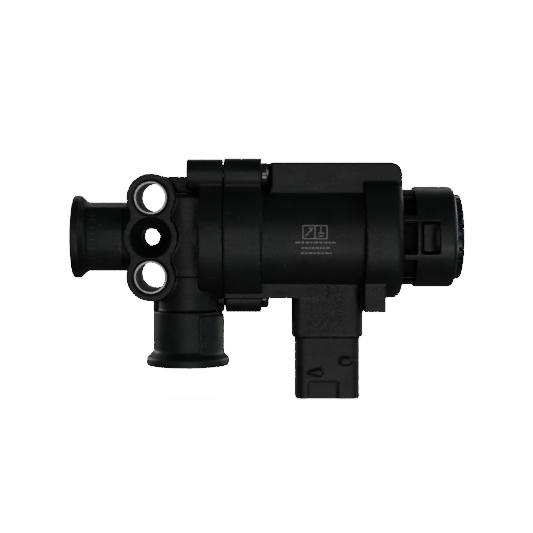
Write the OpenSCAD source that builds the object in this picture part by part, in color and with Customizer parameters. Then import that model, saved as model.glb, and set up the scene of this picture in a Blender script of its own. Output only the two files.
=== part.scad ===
// Solenoid diverter valve: a three-way air valve with two threaded ports and a vent.
// The row frame has its origin at the centre of the two bolt holes, on the mounting face.
// +X runs along the valve from the inline port to the vent, +Y into the mounting surface
// and +Z up. Every module below is drawn about the valve's own axis, which on_axis()
// then moves half a boss in front of the mounting face.

/* [Mounting boss] */
// Distance between the two mounting bolts
bolt_spacing = 24; // [22:0.5:32]
// Radius of the hole in each mounting sleeve, for an M8 bolt
bolt_bore_r = 4.25; // [3.5:0.05:4.6]
// Wall of the steel mounting sleeve
sleeve_wall = 0.85; // [0.6:0.05:1.2]
// Length of the sleeves, which is the depth of the boss
boss_depth = 24; // [24:0.5:30]
// Plastic wall around each sleeve
boss_wall = 2.3; // [1.8:0.1:3]
// Radius of the boss around the middle hole
centre_lobe_r = 8.2; // [7.6:0.1:9]
// Half width of the boss between its three lobes
boss_waist = 6.1; // [5.6:0.1:7]
// Radius of the locating hole in the middle of the boss
locating_r = 2.4; // [1.8:0.1:2.6]
// Radius of the dished recess round the locating hole
recess_r = 6.3; // [5.6:0.1:6.8]

/* [Ports] */
// Radius of the port bores, the minor radius of an M16 x 1.5 thread
port_bore_r = 7.25; // [6:0.05:8]
// Plastic wall round the port bores
port_wall = 3.5; // [2.6:0.05:4]
// How far the lip at the mouth of a port stands out from its stub
lip_step = 2.1; // [1.4:0.1:3]
// Length of the cylindrical part of the lip
lip_length = 2; // [1.4:0.1:3]
// Depth of the threaded part of a port
thread_depth = 13; // [10:0.5:14]
// Distance from the locating hole to the face of the inline port
inline_reach = 24.6; // [23:0.1:32]
// Distance from the locating hole to the axis of the down port
down_port_x = 10.7; // [10:0.1:12]
// Distance from the valve axis to the face of the down port
down_reach = 39.7; // [37:0.1:48]
// Radius of the passage behind the thread of the down port
down_passage_r = 5; // [4:0.1:5.4]

/* [Flange joint] */
// Place of the joint between body and coil housing
joint_x = 21.9; // [21:0.1:24]
// Thickness of the flange on the body
body_flange_t = 7.3; // [5.5:0.1:8]
// Thickness of the flange on the coil housing
housing_flange_t = 11.6; // [10:0.1:14]
// Radius of the flange on the coil housing
flange_r = 18.6; // [18:0.1:22]
// Distance from the valve axis to each flange screw
screw_reach = 20.6; // [20.2:0.1:24]
// Lean of the two flange screws away from the vertical
screw_lean = 22; // [12:1:30]
// Radius of the flange screws
screw_r = 2; // [1.5:0.1:2.2]
// Length of the flange screws under the head
screw_length = 20; // [18:1:22]
// Radius of the ear round each screw, on the coil housing
ear_r = 5; // [4.6:0.1:5.4]

/* [Solenoid] */
// Radius of the moving plunger
plunger_r = 6; // [5:0.1:6.4]
// Travel of the plunger between its two seats
stroke = 1.8; // [1:0.1:2.5]
// Wall of the non-magnetic guide tube
tube_wall = 0.55; // [0.4:0.05:0.8]
// Length of the coil bobbin
bobbin_length = 26; // [24:0.5:30]
// Depth of the winding on the bobbin
winding_depth = 4.6; // [3:0.1:5]
// Thickness of the steel yoke
yoke_t = 2.8; // [2:0.1:3]
// Plastic wall of the housing round the coil
barrel_wall = 3.05; // [2:0.1:4]

/* [Connector] */
// Width of the plug socket
socket_w = 19.9; // [18:0.1:24]
// Depth of the plug socket, front to back
socket_d = 12.8; // [11:0.1:14]
// Wall of the plug socket
socket_wall = 1.5; // [1.2:0.1:2]
// Length of the plug socket
socket_length = 19; // [16:0.5:24]
// Distance from the valve axis to the shoulder above the socket
shoulder_drop = 30.6; // [28:0.1:36]
// Distance between the two contact pins
pin_pitch = 5; // [4:0.1:6]

/* [Vent] */
// Radius of the vent cap
cap_r = 15.6; // [15:0.1:17]
// Wall of the vent cap
cap_wall = 1.6; // [1.2:0.1:2]
// Length of the closed part of the vent cap
cap_length = 12.4; // [10:0.1:16]
// Gap between the housing and the closed part of the cap
vent_gap = 3.7; // [2.5:0.1:5]
// Number of vent openings round the cap
vent_count = 8; // [8:4:12]
// Radius of the end disc
end_disc_r = 13.2; // [11:0.1:13.2]

/* [Hidden] */
$fn = 64;
eps = 0.01;
touch = 0.05;        // clearance of a pushed or sliding fit
moulded_gap = 0.1;   // clearance round a part that the plastic is moulded over
edge = 0.6;          // chamfer on a moulded edge

// Mounting boss
sleeve_r = bolt_bore_r + sleeve_wall;
lobe_r = sleeve_r + boss_wall;
lobe_z = bolt_spacing / 2;
recess_depth = 5;
locating_t = 3;         // thickness of the web that the locating hole is cut to size in
locating_relief = 0.6;  // how much wider the hole is behind that web
post_wall = 0.9;
passage_wall = 1.4;
inline_passage_r = min(lobe_z - sleeve_r - passage_wall, port_bore_r - 1.2);

// Ports and body core
stub_r = port_bore_r + port_wall;
lip_r = stub_r + lip_step;
core_r = stub_r + 0.1;
core_top = 13.3;
neck_r = stub_r - 1.3;
neck_top = 12;
neck_bottom = 22.8;
web_t = 4;
web_top = 18.6;
pad_rise = 0.55;
pad_half = 9.3;

// Valve chamber, with the inlet seat in the middle of its floor
chamber_x = 5.2;
seat_x = 9.5;
seat_bore_r = 3.2;
seat_r = 4.6;
chamber_r = 8.4;

// Flange joint
body_flange_r = flange_r - 0.3;
body_flange_x = joint_x - body_flange_t;
housing_flange_x = joint_x + housing_flange_t;
body_ear_r = ear_r - 0.25;
body_ear_length = 11.2;
screw_head_r = 3.6;
screw_head_t = 2.4;
gusset_inset = 0.7;
gusset_step = 0.2;
ear_gap = 0.1;

// Solenoid, from the axis outwards
tube_bore_r = plunger_r + touch;
tube_r = tube_bore_r + tube_wall;
tube_flange_r = 14;
tube_flange_t = 1.4;
bobbin_bore_r = tube_r + touch;
bobbin_core_r = bobbin_bore_r + 1;
winding_r = bobbin_core_r + winding_depth;
bobbin_r = winding_r + 0.6;
bobbin_cheek = 1.2;
coil_space_r = bobbin_r + moulded_gap;
barrel_r = coil_space_r + barrel_wall;
rib_x = housing_flange_x + screw_head_t + 0.2;
yoke_x = rib_x + 0.8;
bobbin_x = yoke_x + yoke_t + 0.2;
yoke_end_x = bobbin_x + bobbin_length + 0.2;
yoke_far_x = yoke_end_x + yoke_t;
yoke_half = 7;
yoke_disc_r = bobbin_r - 1;
strap_bottom = barrel_r + 1.1;
yoke_top = strap_bottom + yoke_t;

// Plunger: a head in the chamber, a waist in the spring and a body in the coil
head_r = chamber_r - 0.8;
head_x = seat_x + 0.6;
head_t = 2.9;
waist_x = head_x + head_t;
waist_r = plunger_r - 0.8;
spring_x = joint_x;
spring_wire_r = 0.45;
spring_turns = 5;
spring_r = waist_r + 0.4 + spring_wire_r;
plunger_body_x = spring_x + 1.6;
plunger_end_x = bobbin_x + bobbin_length / 2 - 1;
seal_t = 1.5;
inlet_seal_r = 5.2;
exhaust_seal_r = 4.2;
core_rim_x = plunger_end_x + stroke;
core_x = core_rim_x + 0.6;
core_bore_r = 1.9;
core_rim_r = 3;
groove_count = 4;

// Coil housing outside
collar_x = yoke_end_x - 1.35;
collar_r = barrel_r + 3;
collar_end_x = collar_x + 11.65;
collar_round = 2.8;
back_wall_x = collar_end_x - 4.9;
rib_half = yoke_half + 2;
rib_top = yoke_top + 3;
rib_round = 3.7;
web_front = 3.2;
low_rib_half = 7.4;
low_rib_drop = barrel_r + 2.8;
core_end_x = back_wall_x - 0.2;
core_ring_r = 0.72;
core_ring_x = back_wall_x - core_ring_r - 0.2;
ring_r = 1;
ring_groove_t = 1.7;
ring_mean_r = 12.6;

// Connector
socket_x = bobbin_x + bobbin_length / 2 + 0.75;
block_w = socket_w + 2;
block_d = socket_d + 1.6;
block_round = 3;
socket_bottom = shoulder_drop + socket_length;
cavity_depth = 15.8;
cavity_floor = socket_bottom - cavity_depth;
pin_w = 2.8;
pin_t = 0.8;
pin_top = coil_space_r + 0.8;
pin_length = 9.4;
tail_r = 0.3;
lug_w = 6.6;
lug_drop = 22.6;
lug_half = 5.4;
lug_front = 12.9;

// Vent
cap_x = collar_end_x + vent_gap;
cap_end_x = cap_x + cap_length;
cap_bore_r = cap_r - cap_wall;
carrier_r = cap_bore_r - 0.1;
carrier_wall = 1.6;
carrier_floor_t = 2.2;
carrier_end_x = cap_end_x - 2.5;
leg_angle = 7;
window_count = 2;
window_x = cap_x + 1.25;
window_l = 5.7;
window_w = 9.8;
hook_gap = 0.7;
hook_rise = 1;
cap_wall_x = cap_end_x - 1.4;
cap_round = 1.6;
disc_proud = 2.4;
umbrella_r = 8.2;
umbrella_rise = 1.2;
umbrella_holes = 6;
umbrella_hole_r = 1.4;
umbrella_pitch_r = 5.4;

// Moves what is drawn about the valve axis to its place in the row frame
module on_axis() {
    translate([0, -boss_depth / 2, 0]) children();
}

// Cylinder along X
module rod_x(x, length, r) {
    translate([x, 0, 0]) rotate([0, 90, 0]) cylinder(h = length, r = r);
}

// Cylinder along Y, through the whole boss and a little more
module rod_y(r, z = 0) {
    translate([0, boss_depth / 2 + eps, z]) rotate([90, 0, 0])
        cylinder(h = boss_depth + 2 * eps, r = r);
}

// Turns a profile of [radius, x] points about the valve axis
module lathe_x() {
    rotate([0, 90, 0]) rotate_extrude() children();
}

// Extrudes an outline of [y, z] points along X
module extrude_x(x, length) {
    translate([x, 0, 0]) rotate([90, 0, 90]) linear_extrude(length) children();
}

// A box about the valve's middle plane
module slab(x, length, half, z, height) {
    translate([x, -half, z]) cube([length, 2 * half, height]);
}

module round_rect(w, d, r) {
    square([w - 2 * r, d], center = true);
    square([w, d - 2 * r], center = true);
    for (sx = [-1, 1], sy = [-1, 1])
        translate([sx * (w / 2 - r), sy * (d / 2 - r)]) circle(r);
}

// A ring of round wire about the valve axis
module wire_ring(x, mean_r, wire_r) {
    lathe_x() translate([mean_r, x]) circle(wire_r);
}

// ---- Valve body ----

// Outside of a port, from its root at height 0 to its face
module port_outside(length) {
    rotate_extrude() polygon([
        [0, 0], [stub_r, 0], [stub_r, length - lip_length - lip_step - 0.4],
        [lip_r, length - lip_length - 0.4], [lip_r, length - 0.4],
        [lip_r - 0.4, length], [0, length]
    ]);
}

// Bore of a port, cut back from its face at height 0
module port_bore() {
    translate([0, 0, -thread_depth]) cylinder(h = thread_depth + eps, r = port_bore_r);
    translate([0, 0, -0.8]) cylinder(h = 0.8 + eps, r1 = port_bore_r, r2 = port_bore_r + 0.8);
}

module at_inline_face() {
    translate([-inline_reach, 0, 0]) rotate([0, -90, 0]) children();
}

module at_down_face() {
    translate([down_port_x, 0, -down_reach]) rotate([180, 0, 0]) children();
}

module boss_outline() {
    for (s = [-1, 1]) translate([0, s * lobe_z]) circle(lobe_r);
    circle(centre_lobe_r);
    square([2 * boss_waist, bolt_spacing], center = true);
}

module boss() {
    translate([0, boss_depth / 2, 0]) rotate([90, 0, 0])
        linear_extrude(boss_depth) boss_outline();
}

// Dished recess in both faces of the boss, kept clear of the walls round the sleeves
module recess() {
    difference() {
        for (turn = [0, 180]) rotate([0, 0, turn]) translate([0, -boss_depth / 2, 0])
            rotate([-90, 0, 0]) {
                translate([0, 0, -eps]) cylinder(h = 2 + eps, r1 = recess_r, r2 = recess_r - 1.2);
                translate([0, 0, 2 - eps])
                    cylinder(h = recess_depth - 2, r1 = recess_r - 1.2, r2 = locating_r + 0.7);
            }
        for (s = [-1, 1]) rod_y(sleeve_r + 0.9, s * lobe_z);
    }
}

// Locating hole: cut to size in a thin web at the front and a little wider behind it
module locating_hole() {
    rod_y(locating_r);
    translate([0, recess_depth + locating_t - boss_depth / 2, 0]) rotate([-90, 0, 0])
        cylinder(h = boss_depth, r = locating_r + locating_relief);
}

// Round flange with two ears, one up and forward and one down and back. A straight
// gusset runs from each side of an ear to a point just inside the round flange. The ears
// stand clear of each other at the joint, so that the screws load the round flange.
module flange(x, length, r, ear, ear_x, ear_end_x) {
    side = [0.92 * ear, screw_reach - 0.35 * ear];
    foot = r - gusset_inset;
    foot_angle = atan2(side[0], side[1]) + acos(foot / norm(side));
    rod_x(x, length, r);
    for (turn = [0, 180]) rotate([turn + screw_lean, 0, 0]) {
        translate([0, 0, screw_reach]) rod_x(ear_x, ear_end_x - ear_x, ear);
        extrude_x(x + gusset_step, length - 2 * gusset_step) polygon([
            [-foot * sin(foot_angle), foot * cos(foot_angle)],
            [-side[0], side[1]], side, [foot * sin(foot_angle), foot * cos(foot_angle)]
        ]);
    }
}

module at_screws() {
    for (turn = [0, 180]) rotate([turn + screw_lean, 0, 0]) translate([0, 0, screw_reach])
        children();
}

module body_outside() {
    rotate([0, -90, 0]) port_outside(inline_reach);
    translate([down_port_x, 0, 0]) {
        translate([0, 0, -neck_bottom]) rotate([180, 0, 0])
            port_outside(down_reach - neck_bottom);
        translate([0, 0, -neck_bottom - eps]) cylinder(h = neck_bottom, r = neck_r);
        translate([0, 0, -neck_top]) cylinder(h = neck_top + core_top - 1.2, r = core_r);
        translate([0, 0, core_top - 1.2 - eps]) cylinder(h = 1.2, r1 = core_r, r2 = core_r - 1.2);
    }
    rod_x(0, body_flange_x + eps, stub_r);
    boss();
    flange(body_flange_x, body_flange_t, body_flange_r, body_ear_r,
           joint_x - body_ear_length, joint_x - ear_gap);
    slab(3, body_flange_x - 3 + eps, web_t / 2, 0, web_top);
    slab(down_port_x - stub_r, stub_r, web_t / 2, -neck_bottom - eps, neck_bottom);
}

// Raised pads on the stubs, where a maker would put the port's marking
module pads() {
    intersection() {
        rod_x(-inline_reach + 5, 11, stub_r + pad_rise);
        translate([-inline_reach, -2 * stub_r, -pad_half])
            cube([inline_reach, 2 * stub_r, 2 * pad_half]);
    }
    intersection() {
        translate([down_port_x, 0, -down_reach + 4]) cylinder(h = 11.6, r = stub_r + pad_rise);
        translate([down_port_x + 4, -2 * stub_r, -down_reach])
            cube([2 * stub_r, 2.5 * stub_r, down_reach]);
    }
}

module body_inside() {
    at_inline_face() port_bore();
    at_down_face() port_bore();
    // Inline passage, which parts round the post of the locating hole
    difference() {
        rod_x(-inline_reach + thread_depth - eps,
              inline_reach - thread_depth + chamber_x - 2.3, inline_passage_r);
        rod_y(locating_r + locating_relief + post_wall);
    }
    translate([chamber_x - 2.3 - 2 * eps, 0, 0]) rotate([0, 90, 0])
        cylinder(h = 2.3, r1 = inline_passage_r, r2 = seat_bore_r);
    rod_x(chamber_x - 0.1, 10, seat_bore_r);
    // Chamber round the inlet seat, open towards the coil
    difference() {
        rod_x(chamber_x, joint_x - chamber_x + eps, chamber_r);
        lathe_x() polygon([
            [0, chamber_x - eps], [seat_r + 1.4, chamber_x - eps],
            [seat_r, seat_x], [0, seat_x]
        ]);
    }
    translate([down_port_x, 0, -down_reach + thread_depth - eps])
        cylinder(h = down_reach - thread_depth - chamber_r + 2.4, r = down_passage_r);
    // Groove for the O-ring in the joint face
    difference() {
        rod_x(joint_x - ring_groove_t, ring_groove_t + eps, ring_mean_r + ring_r + touch);
        rod_x(joint_x - ring_groove_t - eps, ring_groove_t + 3 * eps,
              ring_mean_r - ring_r - touch);
    }
    at_screws() rod_x(housing_flange_x - screw_length, screw_length, screw_r);
}

module valve_body() {
    color([0.1, 0.1, 0.105]) difference() {
        union() {
            body_outside();
            pads();
        }
        body_inside();
        recess();
        locating_hole();
        for (s = [-1, 1]) {
            rod_y(sleeve_r, s * lobe_z);
            translate([0, -boss_depth / 2 - eps, s * lobe_z]) rotate([-90, 0, 0])
                cylinder(h = edge, r1 = sleeve_r + edge, r2 = sleeve_r);
        }
    }
}

module mounting_sleeve(s) {
    color([0.78, 0.79, 0.8]) translate([0, boss_depth / 2, s * lobe_z]) rotate([90, 0, 0])
        rotate_extrude() polygon([
            [bolt_bore_r, 0.4], [bolt_bore_r + 0.4, 0], [sleeve_r, 0], [sleeve_r, boss_depth],
            [bolt_bore_r + 0.4, boss_depth], [bolt_bore_r, boss_depth - 0.4]
        ]);
}

// ---- Flange screws ----

module flange_screw(turn) {
    color([0.62, 0.63, 0.65]) rotate([turn + screw_lean, 0, 0]) translate([0, 0, screw_reach])
        difference() {
            lathe_x() polygon([
                [0, housing_flange_x - screw_length],
                [screw_r - 0.6, housing_flange_x - screw_length],
                [screw_r, housing_flange_x - screw_length + 1.2], [screw_r, housing_flange_x],
                [screw_head_r, housing_flange_x], [screw_head_r, housing_flange_x + 1.5],
                [screw_head_r - 0.5, housing_flange_x + 2.1],
                [screw_head_r - 1.3, housing_flange_x + screw_head_t],
                [0, housing_flange_x + screw_head_t]
            ]);
            rod_x(housing_flange_x + 0.7, screw_head_t, 1.5);
            for (a = [0 : 60 : 300]) rotate([a, 0, 0]) translate([0, 0, 1.5])
                rod_x(housing_flange_x + 0.7, screw_head_t, 0.42);
        }
}

// ---- Coil housing ----

// Yoke: two plates joined by a strap over the coil; grow makes the space it is moulded in
module yoke_shape(grow = 0) {
    for (x = [yoke_x, yoke_end_x]) {
        rod_x(x - grow, yoke_t + 2 * grow, yoke_disc_r + grow);
        slab(x - grow, yoke_t + 2 * grow, yoke_half + grow, 0, yoke_top + grow);
    }
    slab(yoke_x - grow, yoke_far_x - yoke_x + 2 * grow, yoke_half + grow,
         strap_bottom - grow, yoke_t + 2 * grow);
}

module top_rib() {
    translate([0, rib_half, 0]) rotate([90, 0, 0]) linear_extrude(2 * rib_half) {
        translate([rib_x, 0]) square([collar_end_x - rib_round - rib_x, rib_top]);
        translate([rib_x, 0]) square([collar_end_x - rib_x, rib_top - rib_round]);
        translate([collar_end_x - rib_round, rib_top - rib_round]) circle(rib_round);
    }
}

module collar() {
    lathe_x() {
        translate([0, collar_x]) square([collar_r - collar_round, collar_end_x - collar_x]);
        translate([0, collar_x]) square([collar_r, collar_end_x - collar_x - collar_round]);
        translate([collar_r - collar_round, collar_end_x - collar_round]) circle(collar_round);
    }
}

// Column that carries the plug socket, with a lug beside it
module connector_outside() {
    translate([socket_x, 0, -shoulder_drop]) linear_extrude(shoulder_drop - barrel_r + 4)
        round_rect(block_w, block_d, block_round);
    translate([socket_x, 0, -socket_bottom]) linear_extrude(socket_length + eps)
        round_rect(socket_w, socket_d, block_round);
    slab(socket_x + block_w / 2 - block_round, block_round + lug_w / 2, lug_half,
         0.6 - lug_drop, lug_drop - barrel_r + 2);
    translate([socket_x + block_w / 2 - 0.15, -lug_front, -lug_drop])
        cube([lug_w, lug_front + lug_half + 0.5, lug_drop - barrel_r + 6]);
}

// Two nubs that hold the plug's latch, on the front of the socket
module latch_nubs() {
    translate([socket_x, -socket_d / 2 + eps, -socket_bottom]) rotate([90, 0, 0]) {
        translate([5.5, 11.7]) linear_extrude(0.8) {
            for (s = [-1, 1]) translate([s * 0.65, 0]) circle(1.1);
            square([1.3, 2.2], center = true);
        }
        translate([-2.6, 8.2]) linear_extrude(0.8) {
            circle(1.1);
            polygon([[0, 1.1], [-3.2, 0.2], [-3.2, -0.2], [0, -1.1]]);
        }
    }
}

// Shallow recess at the mouth of the socket, where the plug's latch slides up
module latch_recess() {
    translate([socket_x - 6.1, -socket_d / 2 - eps, -socket_bottom - eps])
        cube([9.4, 0.45 + eps, 5.6]);
}

module socket_cavity() {
    translate([socket_x, 0, -socket_bottom - eps]) linear_extrude(cavity_depth + eps)
        round_rect(socket_w - 2 * socket_wall, socket_d - 2 * socket_wall,
                   block_round - socket_wall);
    for (s = [-1, 1])
        translate([socket_x + s * pin_pitch / 2, 0, 0]) slab(-pin_w / 2 - touch,
            pin_w + 2 * touch, pin_t / 2 + touch, -cavity_floor - eps,
            cavity_floor - coil_space_r + 0.6);
}

module housing_outside() {
    flange(joint_x, housing_flange_t - gusset_step, flange_r, ear_r,
           joint_x + ear_gap, housing_flange_x);
    rod_x(joint_x, collar_x - joint_x + eps, barrel_r);
    top_rib();
    slab(joint_x, socket_x - joint_x, low_rib_half, -low_rib_drop, low_rib_drop);
    translate([housing_flange_x - 2, -web_front, 0])
        cube([rib_x - housing_flange_x + 4, web_front + rib_half - 1, rib_top - 0.3]);
    collar();
    connector_outside();
    latch_nubs();
}

module housing_inside() {
    rod_x(joint_x - eps, tube_flange_t + touch, tube_flange_r + moulded_gap);
    rod_x(joint_x, yoke_x - joint_x, tube_r + touch);
    yoke_shape(moulded_gap);
    rod_x(bobbin_x - 0.3, bobbin_length + 0.6, coil_space_r);
    rod_x(yoke_far_x, collar_end_x - yoke_far_x, tube_bore_r + touch);
    rod_x(core_ring_x - core_ring_r - touch, back_wall_x - core_ring_x + 1.5,
          tube_bore_r + touch + 2 * core_ring_r);
    rod_x(back_wall_x, collar_end_x - back_wall_x + eps, carrier_r + touch);
    at_screws() {
        rod_x(joint_x - eps, housing_flange_t + 2 * eps, screw_r + 0.2);
        rod_x(housing_flange_x, screw_head_t + 0.6, screw_head_r + 0.5);
    }
    socket_cavity();
    latch_recess();
}

module coil_housing() {
    color([0.1, 0.1, 0.105]) difference() {
        housing_outside();
        housing_inside();
    }
}

// ---- Solenoid ----

module magnet_yoke() {
    color([0.5, 0.5, 0.52]) difference() {
        yoke_shape();
        rod_x(yoke_x - eps, yoke_t + 2 * eps, tube_r + touch);
        rod_x(yoke_end_x - eps, yoke_t + 2 * eps, tube_r + touch);
    }
}

module bobbin() {
    color([0.85, 0.82, 0.72]) lathe_x() {
        translate([bobbin_bore_r, bobbin_x]) square([bobbin_core_r - bobbin_bore_r, bobbin_length]);
        for (x = [bobbin_x, bobbin_x + bobbin_length - bobbin_cheek])
            translate([bobbin_bore_r, x]) square([bobbin_r - bobbin_bore_r, bobbin_cheek]);
    }
}

module copper_winding() {
    color([0.72, 0.36, 0.16]) {
        lathe_x() translate([bobbin_core_r + touch, bobbin_x + bobbin_cheek + touch])
            square([winding_depth - touch, bobbin_length - 2 * (bobbin_cheek + touch)]);
        for (s = [-1, 1]) translate([socket_x + s * pin_pitch / 2, 0, -pin_top])
            cylinder(h = pin_top - winding_r + 0.5, r = tail_r, $fn = 24);
    }
}

module guide_tube() {
    color([0.8, 0.8, 0.78]) lathe_x() polygon([
        [tube_bore_r, joint_x], [tube_flange_r, joint_x],
        [tube_flange_r, joint_x + tube_flange_t], [tube_r, joint_x + tube_flange_t],
        [tube_r, yoke_far_x], [tube_bore_r, yoke_far_x]
    ]);
}

// Hollow core that the plunger is pulled to; the vented air leaves through it
module fixed_core() {
    color([0.6, 0.6, 0.62]) lathe_x() polygon([
        [core_bore_r, core_rim_x], [core_rim_r, core_rim_x], [core_rim_r + 0.4, core_x],
        [plunger_r, core_x], [plunger_r, core_end_x], [core_bore_r + 0.8, core_end_x],
        [core_bore_r, core_end_x - 0.8]
    ]);
}

module plunger() {
    color([0.66, 0.66, 0.68]) difference() {
        lathe_x() polygon([
            [0, head_x], [head_r, head_x], [head_r, waist_x], [waist_r, waist_x],
            [waist_r, plunger_body_x], [plunger_r, plunger_body_x + 0.8],
            [plunger_r, plunger_end_x], [0, plunger_end_x]
        ]);
        rod_x(seat_x, seal_t, inlet_seal_r);
        rod_x(plunger_end_x - seal_t, seal_t + eps, exhaust_seal_r);
        for (a = [0 : 360 / groove_count : 359]) rotate([a, 0, 0])
            slab(plunger_body_x - 1, plunger_end_x - plunger_body_x + 2, 0.9,
                 plunger_r - 1, 2);
    }
}

module inlet_seal() {
    color([0.16, 0.12, 0.1]) rod_x(seat_x, seal_t, inlet_seal_r);
}

module exhaust_seal() {
    color([0.16, 0.12, 0.1]) rod_x(plunger_end_x - seal_t, seal_t, exhaust_seal_r);
}

// Points of a ring of wire number i of a helix about the valve axis
function helix_angle(i, steps) = 360 * spring_turns * i / steps;
function helix_x(i, steps, x0, length) = x0 + length * i / steps;
function helix_ring(i, steps, x0, length, sides) = [
    for (k = [0 : sides - 1])
        let (a = helix_angle(i, steps), b = 360 * k / sides,
             r = spring_r + spring_wire_r * cos(b))
        [helix_x(i, steps, x0, length) + spring_wire_r * sin(b), r * cos(a), r * sin(a)]
];

module return_spring() {
    sides = 8;
    steps = spring_turns * 20;
    x0 = waist_x + spring_wire_r + touch;
    length = spring_x - spring_wire_r - touch - x0;
    points = [for (i = [0 : steps]) each helix_ring(i, steps, x0, length, sides)];
    skin = [
        for (i = [0 : steps - 1], k = [0 : sides - 1])
            let (a = i * sides + k, b = i * sides + (k + 1) % sides)
            [a, b, b + sides, a + sides]
    ];
    caps = [
        [for (k = [sides - 1 : -1 : 0]) k],
        [for (k = [0 : sides - 1]) steps * sides + k]
    ];
    color([0.7, 0.7, 0.72]) polyhedron(points, concat(skin, caps));
}

module flange_oring() {
    color([0.05, 0.05, 0.05])
        wire_ring(joint_x - ring_groove_t / 2, ring_mean_r, ring_groove_t / 2);
}

module core_oring() {
    color([0.05, 0.05, 0.05])
        wire_ring(core_ring_x, tube_bore_r + touch + core_ring_r, core_ring_r);
}

module contact_pin(s) {
    color([0.8, 0.78, 0.72]) translate([socket_x + s * pin_pitch / 2, 0, 0]) {
        slab(-pin_w / 2, pin_w, pin_t / 2, -cavity_floor - pin_length,
             cavity_floor + pin_length - pin_top);
        translate([0, pin_t / 2, -cavity_floor - pin_length]) rotate([90, 0, 0])
            linear_extrude(pin_t) polygon([
                [-pin_w / 2, eps], [-pin_w / 4, -1], [pin_w / 4, -1], [pin_w / 2, eps]
            ]);
    }
}

// ---- Vent ----

// Copies a child at equal turns about the valve axis, the first at the front
module round_axis(count, start = 0) {
    for (i = [0 : count - 1]) rotate([90 + start + 360 * i / count, 0, 0]) children();
}

// A wedge from the axis outwards, between two radii of a vent opening
module opening_cut(x, length) {
    half = 180 / vent_count - leg_angle / 2;
    round_axis(vent_count) extrude_x(x, length)
        polygon([[0, 0], [-2 * cap_r * sin(half), 2 * cap_r * cos(half)],
                 [2 * cap_r * sin(half), 2 * cap_r * cos(half)]]);
}

module vent_carrier() {
    color([0.12, 0.12, 0.125]) difference() {
        union() {
            difference() {
                rod_x(back_wall_x, carrier_end_x - back_wall_x, carrier_r);
                rod_x(back_wall_x + carrier_floor_t, carrier_end_x, carrier_r - carrier_wall);
                difference() {
                    opening_cut(collar_end_x + 0.2, vent_gap - 0.2);
                    rod_x(collar_end_x, vent_gap, carrier_r - carrier_wall - 1);
                }
            }
            round_axis(window_count) hook();
        }
        rod_x(back_wall_x - eps, 0.8 + eps, umbrella_r);
        rod_x(back_wall_x, carrier_floor_t + eps, 1.2);
        round_axis(umbrella_holes) translate([0, 0, umbrella_pitch_r])
            rod_x(back_wall_x, carrier_floor_t + eps, umbrella_hole_r);
    }
}

// Snap hook with a ramp that faces the end of the cap
module hook() {
    half = window_w / 2 - hook_gap;
    translate([0, half, 0]) rotate([90, 0, 0]) linear_extrude(2 * half) polygon([
        [window_x + hook_gap, carrier_r - 0.8], [window_x + hook_gap, carrier_r + hook_rise],
        [window_x + window_l - 2.6, carrier_r + hook_rise],
        [window_x + window_l - hook_gap, carrier_r - 0.2],
        [window_x + window_l - hook_gap, carrier_r - 0.8]
    ]);
}

module umbrella_valve() {
    x = back_wall_x + carrier_floor_t;
    color([0.2, 0.08, 0.06]) lathe_x() polygon([
        [0, x - 1.8], [1.6, x - 1.8], [1.2, x - 1.4], [1.2, x], [umbrella_r, x],
        [umbrella_r, x + 0.4], [2.4, x + umbrella_rise], [0, x + umbrella_rise]
    ]);
}

module silencer_pad() {
    x = back_wall_x + carrier_floor_t + umbrella_rise + 0.8;
    color([0.09, 0.09, 0.095])
        rod_x(x, carrier_end_x - x, carrier_r - carrier_wall - touch);
}

module vent_cap() {
    color([0.12, 0.12, 0.125]) difference() {
        lathe_x() difference() {
            union() {
                translate([0, collar_end_x])
                    square([cap_r - cap_round, cap_end_x - collar_end_x]);
                translate([0, collar_end_x])
                    square([cap_r, cap_end_x - collar_end_x - cap_round]);
                translate([cap_r - cap_round, cap_end_x - cap_round]) circle(cap_round);
            }
            translate([-1, collar_end_x - eps])
                square([1 + cap_bore_r, cap_wall_x - collar_end_x + eps]);
            translate([-1, collar_end_x]) square([1 + end_disc_r + touch, cap_end_x]);
        }
        opening_cut(collar_end_x - eps, vent_gap + eps);
        round_axis(window_count) slab(window_x, window_l, window_w / 2, cap_r - 3, 4);
    }
}

// Plug that closes the cap, with a row of notches round its rim
module end_disc() {
    notches = 24;
    color([0.04, 0.045, 0.06]) difference() {
        lathe_x() polygon([
            [0, carrier_end_x + 0.1], [cap_bore_r - 0.1, carrier_end_x + 0.1],
            [cap_bore_r - 0.1, cap_wall_x - touch], [end_disc_r, cap_wall_x - touch],
            [end_disc_r, cap_end_x + disc_proud - 1.1],
            [end_disc_r - 0.35, cap_end_x + disc_proud - 0.35],
            [end_disc_r - 1.2, cap_end_x + disc_proud], [0, cap_end_x + disc_proud]
        ]);
        rod_x(cap_end_x + disc_proud - 0.8, 2, end_disc_r - 3.2);
        round_axis(notches) slab(cap_end_x + 0.5, disc_proud, 0.45, end_disc_r - 1.6, 3);
    }
}

on_axis() valve_body();
on_axis() coil_housing();
on_axis() mounting_sleeve(1);  // mounting_sleeve_upper
on_axis() mounting_sleeve(-1);  // mounting_sleeve_lower
on_axis() flange_screw(0);  // flange_screw_top
on_axis() flange_screw(180);  // flange_screw_bottom
on_axis() flange_oring();
on_axis() plunger();
on_axis() inlet_seal();
on_axis() exhaust_seal();
on_axis() return_spring();
on_axis() guide_tube();
on_axis() fixed_core();
on_axis() core_oring();
on_axis() bobbin();
on_axis() copper_winding();
on_axis() magnet_yoke();
on_axis() contact_pin(-1);  // contact_pin_left
on_axis() contact_pin(1);  // contact_pin_right
on_axis() vent_carrier();
on_axis() umbrella_valve();
on_axis() silencer_pad();
on_axis() vent_cap();
on_axis() end_disc();
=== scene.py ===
"""Finishes a solenoid diverter valve: moulded black shells, steel sleeves and screws, a vent
cap and the parts of the solenoid inside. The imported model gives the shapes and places."""

import math

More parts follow.
